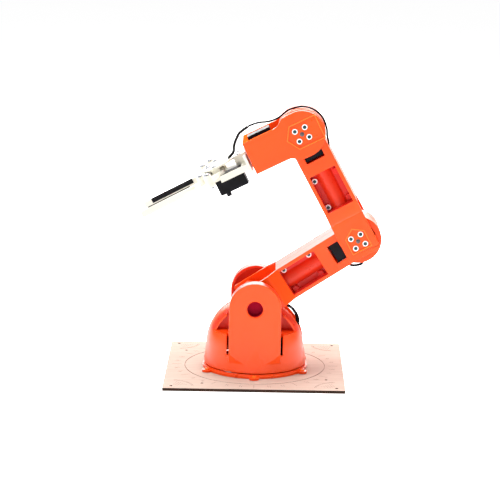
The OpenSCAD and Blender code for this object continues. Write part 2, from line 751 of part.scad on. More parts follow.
// The points of a smooth curve through pts
function smooth(pts) = let (last = len(pts) - 1, steps = 3) concat([
  for (i = [0:last - 1], k = [0:steps - 1])
    let (t = k / steps, a = pts[max(i - 1, 0)], b = pts[i], c = pts[i + 1], d = pts[min(i + 2, last)])
    (2 * b + (c - a) * t + (2 * a - 5 * b + 4 * c - d) * t * t + (3 * b - a - 3 * c + d) * t * t * t) / 2
], [pts[last]]);

function unit(v) = v / norm(v);

// A round cable of radius r through pts, as a closed tube with eight sides
module cable(pts, r) {
  path = smooth(pts);
  last = len(path) - 1;
  rings = [for (i = [0:last])
    let (
      ahead = unit(path[min(i + 1, last)] - path[max(i - 1, 0)]),
      side = unit(cross(ahead, [0, 1, 0])),
      up = cross(side, ahead)
    )
    for (k = [0:7]) path[i] + r * (cos(45 * k) * side + sin(45 * k) * up)];
  walls = [for (i = [0:last - 1], k = [0:7])
    let (a = 8 * i + k, b = 8 * i + (k + 1) % 8)
    for (f = [[a, b, b + 8], [a, b + 8, a + 8]]) f];
  ends = [[for (k = [7:-1:0]) k], [for (k = [0:7]) 8 * last + k]];
  polyhedron(rings, concat(walls, ends));
}

// From the palm's top plate up over the roll servo
module grip_lead() color(black) at_wrist()
  cable([[78.4, 14, 7.7], [78.2, 14, 8.8], [72.2, 12.5, 11.6], [67.9, 9, 18], [60.6, 5, 24.5],
    [55.4, 3.5, 26.4], [48.4, 2, 27.5]], 1.4);

// On from there, round the forearm's round end and down its outer side
module wrist_lead() color(black) at_elbow() translate([link_len, 0, 0])
  cable(concat([[29.2, -2, 47.1], [29.2, -2, 43.3], [27.8, -3, 35], [25.2, -5, 27.8], [23.7, -7, 20.5],
      [23.7, -8, 13.5], [25.3, -8, 6]],
    [for (a = [91:27.2:200]) (drum_r + 1.3) * [sin(a), 0, cos(a)] + [0, -8, 0]],
    [[-15.5, -8, -21.4], [-19.2, -8, -20.3], [-23, -8, -19.3]]), 1);

// Short loop between the upper arm's underside and its round end
module elbow_lead() color(black) at_shoulder() translate([link_len, 0, 0])
  cable([[-21.5, -11, -18.6], [-21, -11, -20.6], [-18.8, -11, -22.6], [-15.8, -11, -24.2],
    [-12.8, -11, -25.2], [-10.4, -11, -25.4], [-8.6, -11, -24.4]], 1.3);

// Loops that drop from the upper arm into the slot in the dome
module shoulder_lead() color(black) {
  cable([[33.9, -4, 88.2], [31.2, -4, 86.4], [30.5, -4, 78], [33, -5, 70.5], [39, -6, 66.5],
    [44, -6, 59], [45, -5, 51], [42, -4, 44], [39.5, -3, 37]], 1.3);
  cable([[33.9, 4, 88.2], [30.8, 4, 86.2], [29.5, 4, 77], [31.5, 4, 70], [38, 4, 65],
    [43, 5, 57], [43.5, 4, 50], [41, 3, 43], [39.5, 2.5, 37]], 1.3);
}

base_board();
base_ring();
base_ring_screws();
servo_tower();
base_servo();
turntable_horn();
turntable_floor();
turntable_screws();
dome_near();
dome_far();
shoulder_housing_near();
shoulder_housing_far();
shoulder_servo();
upper_near();
upper_far();
upper_horn();
upper_horn_screws();
upper_washers();
upper_shell_screws();
upper_pin();
elbow_servo();
fore_near();
fore_far();
fore_horn();
fore_horn_screws();
fore_washers();
fore_shell_screws();
fore_pin();
wrist_servo();
wrist_near();
wrist_far();
wrist_horn();
wrist_horn_screws();
wrist_washers();
wrist_pin();
roll_servo();
roll_horn();
palm_bracket();
palm_top();
grip_servo();
palm_screws();
drive_near();
drive_far();
idle_near();
idle_far();
finger_near();
finger_far();
finger_screws_near();
finger_screws_far();
pad_near();
pad_far();
grip_lead();
wrist_lead();
elbow_lead();
shoulder_lead();
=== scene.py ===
"""Looks for the desktop robot arm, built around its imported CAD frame. Metres, +Z up."""

import json
import math

import bmesh
import bpy
from mathutils import Matrix, Vector


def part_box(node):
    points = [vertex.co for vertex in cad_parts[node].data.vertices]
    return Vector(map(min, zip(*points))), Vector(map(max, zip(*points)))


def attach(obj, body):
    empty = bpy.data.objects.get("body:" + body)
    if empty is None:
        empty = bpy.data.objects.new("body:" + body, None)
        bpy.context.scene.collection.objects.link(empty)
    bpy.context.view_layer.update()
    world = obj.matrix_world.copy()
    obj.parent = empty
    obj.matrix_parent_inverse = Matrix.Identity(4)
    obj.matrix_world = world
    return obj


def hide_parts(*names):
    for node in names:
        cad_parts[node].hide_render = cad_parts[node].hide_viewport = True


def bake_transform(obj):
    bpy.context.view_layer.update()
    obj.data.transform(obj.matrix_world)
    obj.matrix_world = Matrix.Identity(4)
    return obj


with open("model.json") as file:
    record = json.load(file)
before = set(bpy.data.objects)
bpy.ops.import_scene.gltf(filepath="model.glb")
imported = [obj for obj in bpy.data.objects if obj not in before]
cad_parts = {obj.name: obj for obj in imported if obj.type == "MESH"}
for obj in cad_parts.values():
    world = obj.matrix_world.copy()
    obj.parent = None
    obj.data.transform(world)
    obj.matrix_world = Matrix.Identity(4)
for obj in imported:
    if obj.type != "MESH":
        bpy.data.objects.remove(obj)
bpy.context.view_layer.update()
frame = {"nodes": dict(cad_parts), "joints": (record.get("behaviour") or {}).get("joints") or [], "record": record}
NODES = frame["nodes"]
BODIES = frame["record"]["behaviour"]["bodies"]
BODY_OF = {node: body for body, names in BODIES.items() for node in names}
SLOT_OF = {part["node"]: part["material_slot"] for part in frame["record"]["subparts"]}
JOINTS = {joint["name"]: joint for joint in frame["joints"]}
MM = 0.001

# ---- directions and places that the joints give ----

SHOULDER = Vector(JOINTS["shoulder"]["pos_m"])
ELBOW = Vector(JOINTS["elbow"]["pos_m"])
WRIST = Vector(JOINTS["wrist_pitch"]["pos_m"])
PALM_AHEAD = Vector(JOINTS["wrist_roll"]["axis"])
if PALM_AHEAD.x > 0:
    PALM_AHEAD.negate()
PALM_UP = Vector((PALM_AHEAD.z, 0, -PALM_AHEAD.x))


def link_frame(start, end):
    """The directions along a link and across it, the latter turned a quarter towards -X."""
    along = (end - start).normalized()
    return along, Vector((-along.z, 0, along.x))


UPPER_ALONG, UPPER_UP = link_frame(SHOULDER, ELBOW)
FORE_ALONG, FORE_UP = link_frame(ELBOW, WRIST)


def hand(ahead, side, up):
    """A point given in millimetres ahead of the wrist axis, to the near side and above the hand."""
    return WRIST + (PALM_AHEAD * ahead - Vector((0, side, 0)) + PALM_UP * up) * MM


def by_elbow(along, depth, up):
    """A point in millimetres from the elbow: along the upper arm, along +Y and above the arm."""
    return ELBOW + (UPPER_ALONG * along + Vector((0, depth, 0)) + UPPER_UP * up) * MM


def by_wrist(along, depth, up):
    """A point in millimetres from the wrist: along the forearm, along +Y and below the forearm."""
    return WRIST + (FORE_ALONG * along + Vector((0, depth, 0)) + FORE_UP * up) * MM


def add_object(name, data):
    """A new object in the scene."""
    made = bpy.data.objects.new(name, data)
    bpy.context.scene.collection.objects.link(made)
    return made


def to_mesh(work, name):
    """A new mesh from a bmesh, which is freed."""
    mesh = bpy.data.meshes.new(name)
    work.to_mesh(mesh)
    work.free()
    return mesh


# ---- camera, fitted to the joints and the board's corners as the photograph shows them ----

FOCAL_MM = 132.95
SENSOR_MM = 36.0
CAMERA_YAW = math.radians(0.587)
CAMERA_PITCH = math.radians(11.962)
CAMERA_ROLL = math.radians(0.788)
CAMERA_TARGET = Vector((-6.607, 0.0, 127.078)) * MM
CAMERA_DISTANCE = 1927.13 * MM


def make_camera():
    back = Vector((math.sin(CAMERA_YAW) * math.cos(CAMERA_PITCH),
                   -math.cos(CAMERA_YAW) * math.cos(CAMERA_PITCH), math.sin(CAMERA_PITCH)))
    level = Vector((0, 0, 1)).cross(back).normalized()
    upright = back.cross(level)
    right = level * math.cos(CAMERA_ROLL) + upright * math.sin(CAMERA_ROLL)
    up = upright * math.cos(CAMERA_ROLL) - level * math.sin(CAMERA_ROLL)
    data = bpy.data.cameras.new("camera")
    data.lens = FOCAL_MM
    data.sensor_width = SENSOR_MM
    data.clip_end = 50
    data.dof.use_dof = False
    camera = add_object("camera", data)
    turn = Matrix((right, up, back)).transposed().to_4x4()
    camera.matrix_world = Matrix.Translation(CAMERA_TARGET + back * CAMERA_DISTANCE) @ turn
    bpy.context.scene.camera = camera


make_camera()

# ---- light and floor ----


def area_light(name, place, aim, size, energy, colour=(1, 1, 1)):
    data = bpy.data.lights.new(name, "AREA")
    data.shape = "RECTANGLE"
    data.size, data.size_y = size
    data.energy = energy
    data.color = colour
    light = add_object(name, data)
    away = (Vector(place) - Vector(aim)).to_track_quat("Z", "Y").to_matrix().to_4x4()
    light.matrix_world = Matrix.Translation(place) @ away


def make_studio():
    area_light("top_softbox", (0.1, 0.15, 1.4), (0, 0, 0.1), (1.2, 1.0), 34)
    area_light("back_softbox", (0, 2.6, 1.05), (0, 0, 0.15), (3.0, 1.2), 70)
    area_light("key_spot", (-0.8, -0.55, 1.3), (0, 0, 0.15), (0.32, 0.32), 8)
    area_light("front_fill", (-0.5, -2.3, 0.8), (0, 0, 0.15), (1.6, 1.2), 4)
    area_light("left_fill", (-1.5, -0.3, 0.5), (0, 0, 0.15), (0.7, 1.2), 3)
    area_light("right_fill", (1.5, -0.2, 0.6), (0, 0, 0.15), (0.7, 1.2), 2.5)
    world = bpy.data.worlds.new("studio")
    world.use_nodes = True
    world.node_tree.nodes["Background"].inputs["Color"].default_value = (1, 1, 1, 1)
    world.node_tree.nodes["Background"].inputs["Strength"].default_value = 0.2
    bpy.context.scene.world = world
    bpy.context.scene.view_settings.view_transform = "Standard"
    bpy.context.scene.view_settings.look = "None"


def make_floor(material):
    """A wide plain sheet, a little below the board so that their faces don't meet."""
    mesh = bpy.data.meshes.new("floor")
    half, level = 20, -0.0004
    corners = [(x * half, y * half, level) for x, y in ((-1, -1), (1, -1), (1, 1), (-1, 1))]
    mesh.from_pydata(corners, [], [(0, 1, 2, 3)])
    floor = add_object("floor", mesh)
    mesh.materials.append(material)


# ---- materials ----


class Paint:
    """A principled material and short ways to add nodes to it."""

    def __init__(self, name, colour, rough, **sockets):
        self.material = bpy.data.materials.new(name)
        self.material.use_nodes = True
        self.tree = self.material.node_tree
        self.shader = self.tree.nodes["Principled BSDF"]
        self.shader.inputs["Base Color"].default_value = (*colour, 1)
        self.shader.inputs["Roughness"].default_value = rough
        for socket, value in sockets.items():
            self.shader.inputs[socket.replace("_", " ")].default_value = value

    def node(self, kind, **inputs):
        made = self.tree.nodes.new(kind)
        for socket, value in inputs.items():
            if socket in made.bl_rna.properties:
                setattr(made, socket, value)
            else:
                made.inputs[socket.replace("_", " ")].default_value = value
        return made

    def link(self, out, into):
        self.tree.links.new(out, into)

    def place(self, stretch=(1, 1, 1)):
        """Object coordinates, which are the row frame's metres, stretched along each axis."""
        where = self.node("ShaderNodeTexCoord")
        mapping = self.node("ShaderNodeMapping", Scale=stretch)
        self.link(where.outputs["Object"], mapping.inputs["Vector"])
        return mapping.outputs["Vector"]

    def noise(self, scale, detail=3.0, stretch=(1, 1, 1), roughness=0.5):
        made = self.node("ShaderNodeTexNoise", Scale=scale, Detail=detail, Roughness=roughness)
        self.link(self.place(stretch), made.inputs["Vector"])
        return made.outputs["Fac"]

    def ramp(self, fac, *stops):
        """stops are (position, colour) or (position, grey)."""
        made = self.node("ShaderNodeValToRGB")
        points = made.color_ramp.elements
        while len(points) < len(stops):
            points.new(0.5)
        for point, (position, colour) in zip(points, stops):
            point.position = position
            point.color = (*colour, 1) if isinstance(colour, tuple) else (colour, colour, colour, 1)
        self.link(fac, made.inputs["Fac"])
        return made.outputs["Color"]

    def colour(self, socket):
        self.link(socket, self.shader.inputs["Base Color"])

    def rough(self, socket):
        self.link(socket, self.shader.inputs["Roughness"])

    def bump(self, height, strength, distance):
        made = self.node("ShaderNodeBump", Strength=strength, Distance=distance)
        self.link(height, made.inputs["Height"])
        self.link(made.outputs["Normal"], self.shader.inputs["Normal"])


def orange_plastic():
    """The printed shells' plastic."""
    paint = Paint("orange_plastic", (1.0, 0.085, 0.005), 0.3, Specular_IOR_Level=0.25,
                  Coat_Weight=0.1, Coat_Roughness=0.12)
    stops = (0.3, (0.98, 0.072, 0.003)), (0.7, (1.0, 0.084, 0.005))
    paint.colour(paint.ramp(paint.noise(14, 2), *stops))
    paint.rough(paint.ramp(paint.noise(200, 3), (0.3, 0.29), (0.75, 0.35)))
    paint.bump(paint.noise(1500, 2), 0.05, 0.0001)
    return paint.material


def painted_light_orange(name, colour, gloss=0.25):
    """The same plastic recoloured as painted light: painted shade where it only sees itself, in recesses, sunk
    fields and holes, or a painted highlight.
    """
    paint = Paint(name, colour, 0.32, Specular_IOR_Level=gloss)
    darker = tuple(c * 0.9 for c in colour)
    paint.colour(paint.ramp(paint.noise(18, 2), (0.3, darker), (0.7, colour)))
    paint.rough(paint.ramp(paint.noise(260, 4), (0.3, 0.26), (0.75, 0.38)))
    paint.bump(paint.noise(1800, 2), 0.12, 0.0001)
    return paint.material


def ivory_plastic():
    """The gripper's plastic."""
    paint = Paint("ivory_plastic", (0.75, 0.72, 0.62), 0.38, Specular_IOR_Level=0.3)
    stops = (0.3, (0.72, 0.69, 0.58)), (0.7, (0.78, 0.755, 0.66))
    paint.colour(paint.ramp(paint.noise(30, 3), *stops))
    paint.rough(paint.ramp(paint.noise(300, 4), (0.3, 0.32), (0.75, 0.48)))
    paint.bump(paint.noise(2200, 2), 0.1, 0.0001)
    return paint.material


def black_plastic():
    """The servos' cases."""
    paint = Paint("black_plastic", (0.006, 0.006, 0.008), 0.3, Specular_IOR_Level=0.1)
    stops = (0.3, (0.004, 0.004, 0.005)), (0.7, (0.009, 0.008, 0.012))
    paint.colour(paint.ramp(paint.noise(60, 3), *stops))
    paint.rough(paint.ramp(paint.noise(420, 5), (0.3, 0.28), (0.75, 0.5)))
    paint.bump(paint.noise(2600, 3), 0.2, 0.0001)
    return paint.material


def white_plastic():
    """The horns and the washers under their screws."""
    paint = Paint("white_plastic", (0.86, 0.86, 0.86), 0.3, Coat_Weight=0.2)
    paint.colour(paint.ramp(paint.noise(80, 3), (0.3, (0.9, 0.9, 0.9)), (0.7, (0.95, 0.95, 0.95))))
    paint.bump(paint.noise(2600, 2), 0.08, 0.0001)
    return paint.material


def screw_dark():
    """Blackened screws with a teal tint, which sit inside the white washers; the same colour is painted shade on
    the fingers' lower screw heads.
    """
    paint = Paint("screw_dark", (0.03, 0.075, 0.085), 0.32, Metallic=0.9)
    stops = (0.3, (0.02, 0.05, 0.06)), (0.7, (0.05, 0.11, 0.12))
    paint.colour(paint.ramp(paint.noise(500, 4), *stops))
    paint.rough(paint.ramp(paint.noise(900, 5), (0.3, 0.25), (0.75, 0.45)))
    return paint.material


def screw_grey():
    """The dull middle screw of each horn."""
    paint = Paint("screw_grey", (0.14, 0.12, 0.12), 0.5, Metallic=0.7)
    stops = (0.3, (0.08, 0.07, 0.07)), (0.7, (0.2, 0.17, 0.17))
    paint.colour(paint.ramp(paint.noise(500, 4), *stops))
    paint.rough(paint.ramp(paint.noise(900, 5), (0.3, 0.4), (0.75, 0.6)))
    return paint.material


def screw_steel():
    """Bright screws and pins."""
    paint = Paint("screw_steel", (0.4, 0.41, 0.43), 0.3, Metallic=1.0)
    stops = (0.3, (0.3, 0.31, 0.34)), (0.7, (0.46, 0.47, 0.5))
    paint.colour(paint.ramp(paint.noise(500, 4), *stops))
    paint.rough(paint.ramp(paint.noise(900, 5), (0.3, 0.22), (0.75, 0.42)))
    return paint.material


def soft_black(name, grain, strength):
    """The dull black of the finger pads and the leads; grain and strength set its roughness."""
    paint = Paint(name, (0.008, 0.008, 0.009), 0.6, Specular_IOR_Level=0.1)
    stops = (0.3, (0.005, 0.005, 0.006)), (0.7, (0.013, 0.013, 0.014))
    paint.colour(paint.ramp(paint.noise(120, 3), *stops))
    paint.rough(paint.ramp(paint.noise(grain, 4), (0.3, 0.5), (0.75, 0.75)))
    paint.bump(paint.noise(grain, 3), strength, 0.0002)
    return paint.material


def plywood():
    """Pinkish beige veneer on the flat faces, scorched brown with thin plies on the cut edges."""
    paint = Paint("plywood", (0.54, 0.42, 0.34), 0.7, Specular_IOR_Level=0.05)
    grain = paint.noise(26, 6, (1, 14, 4), 0.62)
    veneer = paint.ramp(grain, (0.2, (0.47, 0.355, 0.29)), (0.5, (0.53, 0.415, 0.345)),
                        (0.8, (0.58, 0.465, 0.395)))
    plies = paint.noise(60, 3, (1, 1, 30))
    scorched = paint.ramp(plies, (0.3, (0.018, 0.011, 0.009)), (0.7, (0.06, 0.034, 0.024)))
    geometry = paint.node("ShaderNodeNewGeometry")
    split = paint.node("ShaderNodeSeparateXYZ")
    paint.link(geometry.outputs["Normal"], split.inputs["Vector"])
    upright = paint.node("ShaderNodeMath", operation="ABSOLUTE")
    paint.link(split.outputs["Z"], upright.inputs[0])
    mix = paint.node("ShaderNodeMix", data_type="RGBA")
    paint.link(upright.outputs["Value"], mix.inputs["Factor"])
    paint.link(scorched, mix.inputs[6])
    paint.link(veneer, mix.inputs[7])
    paint.colour(mix.outputs[2])
    paint.bump(paint.noise(40, 6, (1, 14, 4), 0.62), 0.15, 0.0002)
    return paint.material


def scorch():
    """The laser's marks on the board."""
    paint = Paint("scorch", (0.2, 0.14, 0.11), 0.8, Specular_IOR_Level=0.05)
    stops = (0.3, (0.13, 0.085, 0.065)), (0.7, (0.27, 0.19, 0.15))
    paint.colour(paint.ramp(paint.noise(200, 3), *stops))
    return paint.material


def floor_white():
    """Pale paper, lit a little from within as a lit shooting table is."""
    paint = Paint("floor_white", (0.9, 0.9, 0.9), 0.85, Specular_IOR_Level=0.2)
    paint.colour(paint.ramp(paint.noise(3, 2), (0.3, 0.89), (0.7, 0.91)))
    paint.shader.inputs["Emission Color"].default_value = (1, 1, 1, 1)
    paint.shader.inputs["Emission Strength"].default_value = 0.8
    return paint.material


MATERIALS = {
    "orange_plastic": orange_plastic(),
    "ivory_plastic": ivory_plastic(),
    "black_plastic": black_plastic(),
    "white_plastic": white_plastic(),
    "screw_steel": screw_steel(),
    "plywood": plywood(),
    "pad_rubber": soft_black("pad_rubber", 1500, 0.5),
    "cable_rubber": soft_black("cable_rubber", 900, 0.15),
}

# second materials, for some faces of a piece; the orange ones are painted shade and painted highlight
SCREW_BLACKENED_AND_SHADE = screw_dark()
SCREW_GREY = screw_grey()
# painted shade: a darker red in the links' windows
RECESS_SHADE = painted_light_orange("orange_recess_shade", (0.78, 0.022, 0.012))
# painted shade: on the links' ducts, the yokes' inner faces and the triangles at their feet
DUCT_SHADE = painted_light_orange("orange_duct_shade", (0.84, 0.045, 0.014))
# painted shade: a slightly darker orange in the cheeks' sunk fields
FIELD_SHADE = painted_light_orange("orange_field_shade", (0.98, 0.092, 0.007))
# painted highlight: a lighter orange on the ridges round the sunk fields and on the ring screws
HIGHLIGHT_ORANGE = painted_light_orange("orange_ridge_highlight", (1.0, 0.19, 0.02))
# painted shade: a dark crimson in the blind holes on the shoulder's axis
HOLE_SHADE = painted_light_orange("orange_blind_hole_shade", (0.4, 0.002, 0.025), 0.02)
# painted shade: a matte copy with no highlight, for the front wall's top
MATTE_TOP_SHADE = painted_light_orange("orange_top_shade", (1.0, 0.11, 0.012), 0.0)

make_studio()
make_floor(floor_white())

for node, piece in NODES.items():
    piece.data.materials.clear()
    piece.data.materials.append(MATERIALS[SLOT_OF[node]])

# ---- shells with rounded edges ----

WELD = 1e-6  # points closer than this are one
FLAT = math.radians(0.4)  # faces that turn less than this are joined
SHARP = math.radians(30)  # edges that turn more than this are rounded


def with_modifiers(piece):
    """The piece's mesh as its modifiers leave it."""
    bpy.context.view_layer.update()
    shown = piece.evaluated_get(bpy.context.evaluated_depsgraph_get())
    return bpy.data.meshes.new_from_object(shown)


def soften(node, width):
    """A copy of a CAD node with its sharp edges rounded to width, which stands for the node."""
    mesh = NODES[node].data.copy()
    work = bmesh.new()
    work.from_mesh(mesh)
    bmesh.ops.remove_doubles(work, verts=work.verts, dist=WELD)
    bmesh.ops.dissolve_limit(work, angle_limit=FLAT, verts=work.verts, edges=work.edges)
    work.to_mesh(mesh)
    work.free()
    mesh.shade_smooth()
    piece = add_object(node + "_fine", mesh)
    bevel = piece.modifiers.new("round", "BEVEL")
    bevel.width = width
    bevel.segments = 2
    bevel.limit_method = "ANGLE"
    bevel.angle_limit = SHARP
    bevel.miter_outer = "MITER_ARC"
    bevel.use_clamp_overlap = False
    even = piece.modifiers.new("even", "WEIGHTED_NORMAL")
    even.mode = "FACE_AREA"
    even.weight = 100
    rounded = with_modifiers(piece)
    piece.modifiers.clear()
    piece.data = rounded
    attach(piece, BODY_OF[node])
    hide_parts(node)
    return piece


# how wide the rounding is on each shell
SOFTENED = {
    "dome_near": 0.0006, "dome_far": 0.0006, "base_ring": 0.0003,
    "shoulder_housing_near": 0.0005, "shoulder_housing_far": 0.0005,
    "upper_near": 0.0004, "upper_far": 0.0004, "fore_near": 0.0004, "fore_far": 0.0004,
    "wrist_near": 0.0004, "wrist_far": 0.0004,
}
SOFT = {node: soften(node, width) for node, width in SOFTENED.items()}


def shade_faces(piece, material, inside):
    """Gives the faces whose middle and normal pass the test a second material."""
    piece.data.materials.append(material)
    index = len(piece.data.materials) - 1
    for face in piece.data.polygons:
        if inside(Vector(face.center), Vector(face.normal)):
            face.material_index = index


# The tests below take a face's middle p and normal n, and compare them with the places of the
# recesses, fields and holes of part.scad in millimetres.


def in_link(pivot, along, up):
    """Turns a point into millimetres along a link, out from its middle plane, and across it."""
    return lambda p: ((p - pivot).dot(along) / MM, abs(p.y) / MM, (p - pivot).dot(up) / MM)


def on_cheek(depth):
    """Whether a depth in millimetres is that of the sunk field on a cheek's outer face."""
    return 28.5 < depth < 29.7


def shade_link(prefix, local):
    """Painted shade in the window between a link's drums, on the duct inside it, and in the near cheek's sunk
    field.
    """
    def recess(p, n):
        u, depth, v = local(p)
        return 38.2 < u < 80.3 and abs(v) < 14.6 and 5 < depth < 21.3

    def duct(p, n):
        u, depth, v = local(p)
        return 38.6 < u < 79.8 and abs(v) < 8 and 8.1 < depth < 14 and abs(n.y) > 0.3

    def field(p, n):
        u, depth, v = local(p)
        return -10 < u < 15 and abs(v) < 10.8 and on_cheek(depth)

    for side in ("near", "far"):
        shade_faces(SOFT[f"{prefix}_{side}"], RECESS_SHADE, recess)
        shade_faces(SOFT[f"{prefix}_{side}"], DUCT_SHADE, duct)
    shade_faces(SOFT[f"{prefix}_near"], FIELD_SHADE, field)


def shade_cable_slot(local):
    """Painted shadow: the servos' black on the bottom of the slot in the upper arm's round end."""
    def slot(p, n):
        u, depth, v = local(p)
        return 16.7 < u < 18.7 and abs(v) < 5.3 and depth < 21.3

    shade_faces(SOFT["upper_near"], MATERIALS["black_plastic"], slot)


def shade_wrist():
    """Painted shade: a darker orange in the near cheek's sunk field, and a matte orange without its highlight on
    the top of the front wall.
    """
    def in_hand(p):
        return (p - WRIST).dot(PALM_AHEAD) / MM, -p.y / MM, (p - WRIST).dot(PALM_UP) / MM

    def field(p, n):
        ahead, depth, up = in_hand(p)
        return on_cheek(depth) and -27 < ahead < 17 and abs(up) < 12.8

    def front_wall_top(p, n):
        return n.dot(PALM_UP) > 0.9 and in_hand(p)[0] > 45

    shade_faces(SOFT["wrist_near"], FIELD_SHADE, field)
    for side in ("near", "far"):
        shade_faces(SOFT[f"wrist_{side}"], MATTE_TOP_SHADE, front_wall_top)


def shade_dome():
    """Painted shade on the yokes' inner faces, on the triangles at their feet, and in the blind holes on the axis.
    """
    def in_dome(p):
        """Millimetres from the arm's plane, sideways, up, and from the shoulder's axis."""
        return abs(p.y) / MM, abs(p.x) / MM, p.z / MM, math.hypot(p.x, p.z - SHOULDER.z) / MM

    def yoke_inside(p, n):
        depth, across, height, radius = in_dome(p)
        return 36 < depth < 50.5 and across < 24.5 and height > 45.5 and radius < 44.5

    def triangles(p, n):
        depth, across, height, radius = in_dome(p)
        return across > 26.8 and 13.5 < depth < 21.2 and height > 46.2

    def blind_hole(p, n):
        depth, across, height, radius = in_dome(p)
        return depth > 39.5 and radius < 7.9

    for node in ("dome_near", "dome_far"):
        shade_faces(SOFT[node], DUCT_SHADE, yoke_inside)
        shade_faces(SOFT[node], DUCT_SHADE, triangles)
        shade_faces(SOFT[node], HOLE_SHADE, blind_hole)


shade_link("upper", in_link(SHOULDER, UPPER_ALONG, UPPER_UP))
shade_link("fore", in_link(ELBOW, FORE_ALONG, FORE_UP))
shade_cable_slot(in_link(ELBOW, UPPER_ALONG, UPPER_UP))
shade_wrist()
shade_dome()

# ---- small pieces ----


def new_piece(name, mesh, body, slot, *replaced, material=None):
    """An object for mesh that rides body, stands for the replaced nodes and wears its slot's material, or the
    material given.
    """
    piece = add_object(name, mesh)
    mesh.materials.clear()
    mesh.materials.append(material or MATERIALS[slot])
    if body:
        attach(piece, body)
    if replaced:
        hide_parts(*replaced)
    return piece


def lathe(work, profile, sides):
    """Turns a profile of (radius, height) points about Z; a radius of 0 closes an end."""
    turns = [math.tau * k / sides for k in range(sides)]
    rings = []
    for radius, height in profile:
        around = turns if radius else [0]
        spots = [(radius * math.cos(t), radius * math.sin(t), height) for t in around]
        rings.append([work.verts.new(spot) for spot in spots])
    for low, high in zip(rings, rings[1:]):
        for k in range(sides):
            after = (k + 1) % sides
            ring = (low[k % len(low)], low[after % len(low)],
                    high[after % len(high)], high[k % len(high)])
            corners = list(dict.fromkeys(ring))
            if len(corners) > 2:
                work.faces.new(corners)


def screw_template():
    """A pan head of radius 1 and height 1 with a cross recess, on a shank that goes down to -1."""
    work = bmesh.new()
    shank = [(0, -1), (0.5, -1), (0.5, 0)]
    pan = [(0.94, 0), (1, 0.06), (1, 0.4), (0.93, 0.68), (0.76, 0.88), (0.5, 0.97), (0, 1)]
    lathe(work, shank + pan, 32)
    head = add_object("screw_template", to_mesh(work, "screw_template"))
    cutter_work = bmesh.new()
    shape = Matrix.Translation((0, 0, 1)) @ Matrix.Diagonal((1.15, 0.2, 0.9, 1))
    for turn in (0, math.pi / 2):
        bar = bmesh.ops.create_cube(cutter_work, size=1)["verts"]
        bmesh.ops.transform(cutter_work, matrix=Matrix.Rotation(turn, 4, "Z") @ shape, verts=bar)
    cutter = add_object("screw_cutter", to_mesh(cutter_work, "screw_cutter"))
    cut = head.modifiers.new("cross", "BOOLEAN")
    cut.operation = "DIFFERENCE"
    cut.solver = "EXACT"
    cut.use_self = True
    cut.object = cutter
    done = with_modifiers(head)
    bpy.data.objects.remove(head)
    bpy.data.objects.remove(cutter)
    return done


def islands(node):
    """The corner points of each loose solid in a CAD node."""
    work = bmesh.new()
    work.from_mesh(NODES[node].data)
    bmesh.ops.remove_doubles(work, verts=work.verts, dist=WELD)
    found, seen = [], set()
    for start in work.verts:
        if start in seen:
            continue
        group, waiting = [], [start]
        seen.add(start)
        while waiting:
            vert = waiting.pop()
            group.append(vert.co.copy())
            for edge in vert.link_edges:
                other = edge.other_vert(vert)
                if other not in seen:
                    seen.add(other)
                    waiting.append(other)
        found.append(group)
    work.free()
    return found


TIP_GAP = 0.00005  # the shanks stop this far short of the plain ones, clear of the bores' bottoms
RIM = 0.97  # points beyond this share of the greatest radius belong to the head's rim
SPIN = 2.4  # radians from one screw's cross to the next


def fine_screws(node, axis, template):
    """Detailed screws in place of a node's plain ones, whose heads point along axis, either way."""
    axis = Vector(axis).normalized()
    side = axis.orthogonal().normalized()
    other = axis.cross(side)
    work = bmesh.new()
    for number, points in enumerate(islands(node)):
        across = [(p.dot(side), p.dot(other)) for p in points]
        middle = [(min(c) + max(c)) / 2 for c in zip(*across)]
        reach = [math.hypot(u - middle[0], v - middle[1]) for u, v in across]
        along = [p.dot(axis) for p in points]
        radius = max(reach)
        wide = [a for a, r in zip(along, reach) if r > radius * RIM]
        outward = 1 if sum(wide) / len(wide) > (min(along) + max(along)) / 2 else -1
        base = min(wide) if outward > 0 else max(wide)
        height = max(wide) - min(wide)
        depth = max(along) - min(along) - height - TIP_GAP
        seat = side * middle[0] + other * middle[1] + axis * base
        up = axis * outward
        level = side * math.cos(SPIN * number) + other * math.sin(SPIN * number)
        turn = Matrix((level, up.cross(level), up)).transposed().to_4x4()
        start = len(work.verts)
        work.from_mesh(template)
        work.verts.ensure_lookup_table()
        for vert in work.verts[start:]:
            vert.co.x *= radius
            vert.co.y *= radius
            vert.co.z *= height if vert.co.z > 0 else depth
            vert.co = turn @ vert.co + seat
    mesh = to_mesh(work, node + "_fine")
    mesh.shade_smooth()
    mesh.set_sharp_from_angle(angle=math.radians(35))
    return new_piece(node + "_fine", mesh, BODY_OF[node], "screw_steel", node)


# the line that each node's screws lie along
SCREW_AXES = {
    "base_ring_screws": (0, 0, 1),
    "upper_horn_screws": (0, 1, 0), "upper_shell_screws": (0, 1, 0),
    "fore_horn_screws": (0, 1, 0), "fore_shell_screws": (0, 1, 0), "wrist_horn_screws": (0, 1, 0),
    "palm_screws": PALM_UP, "finger_screws_near": PALM_UP, "finger_screws_far": PALM_UP,
}


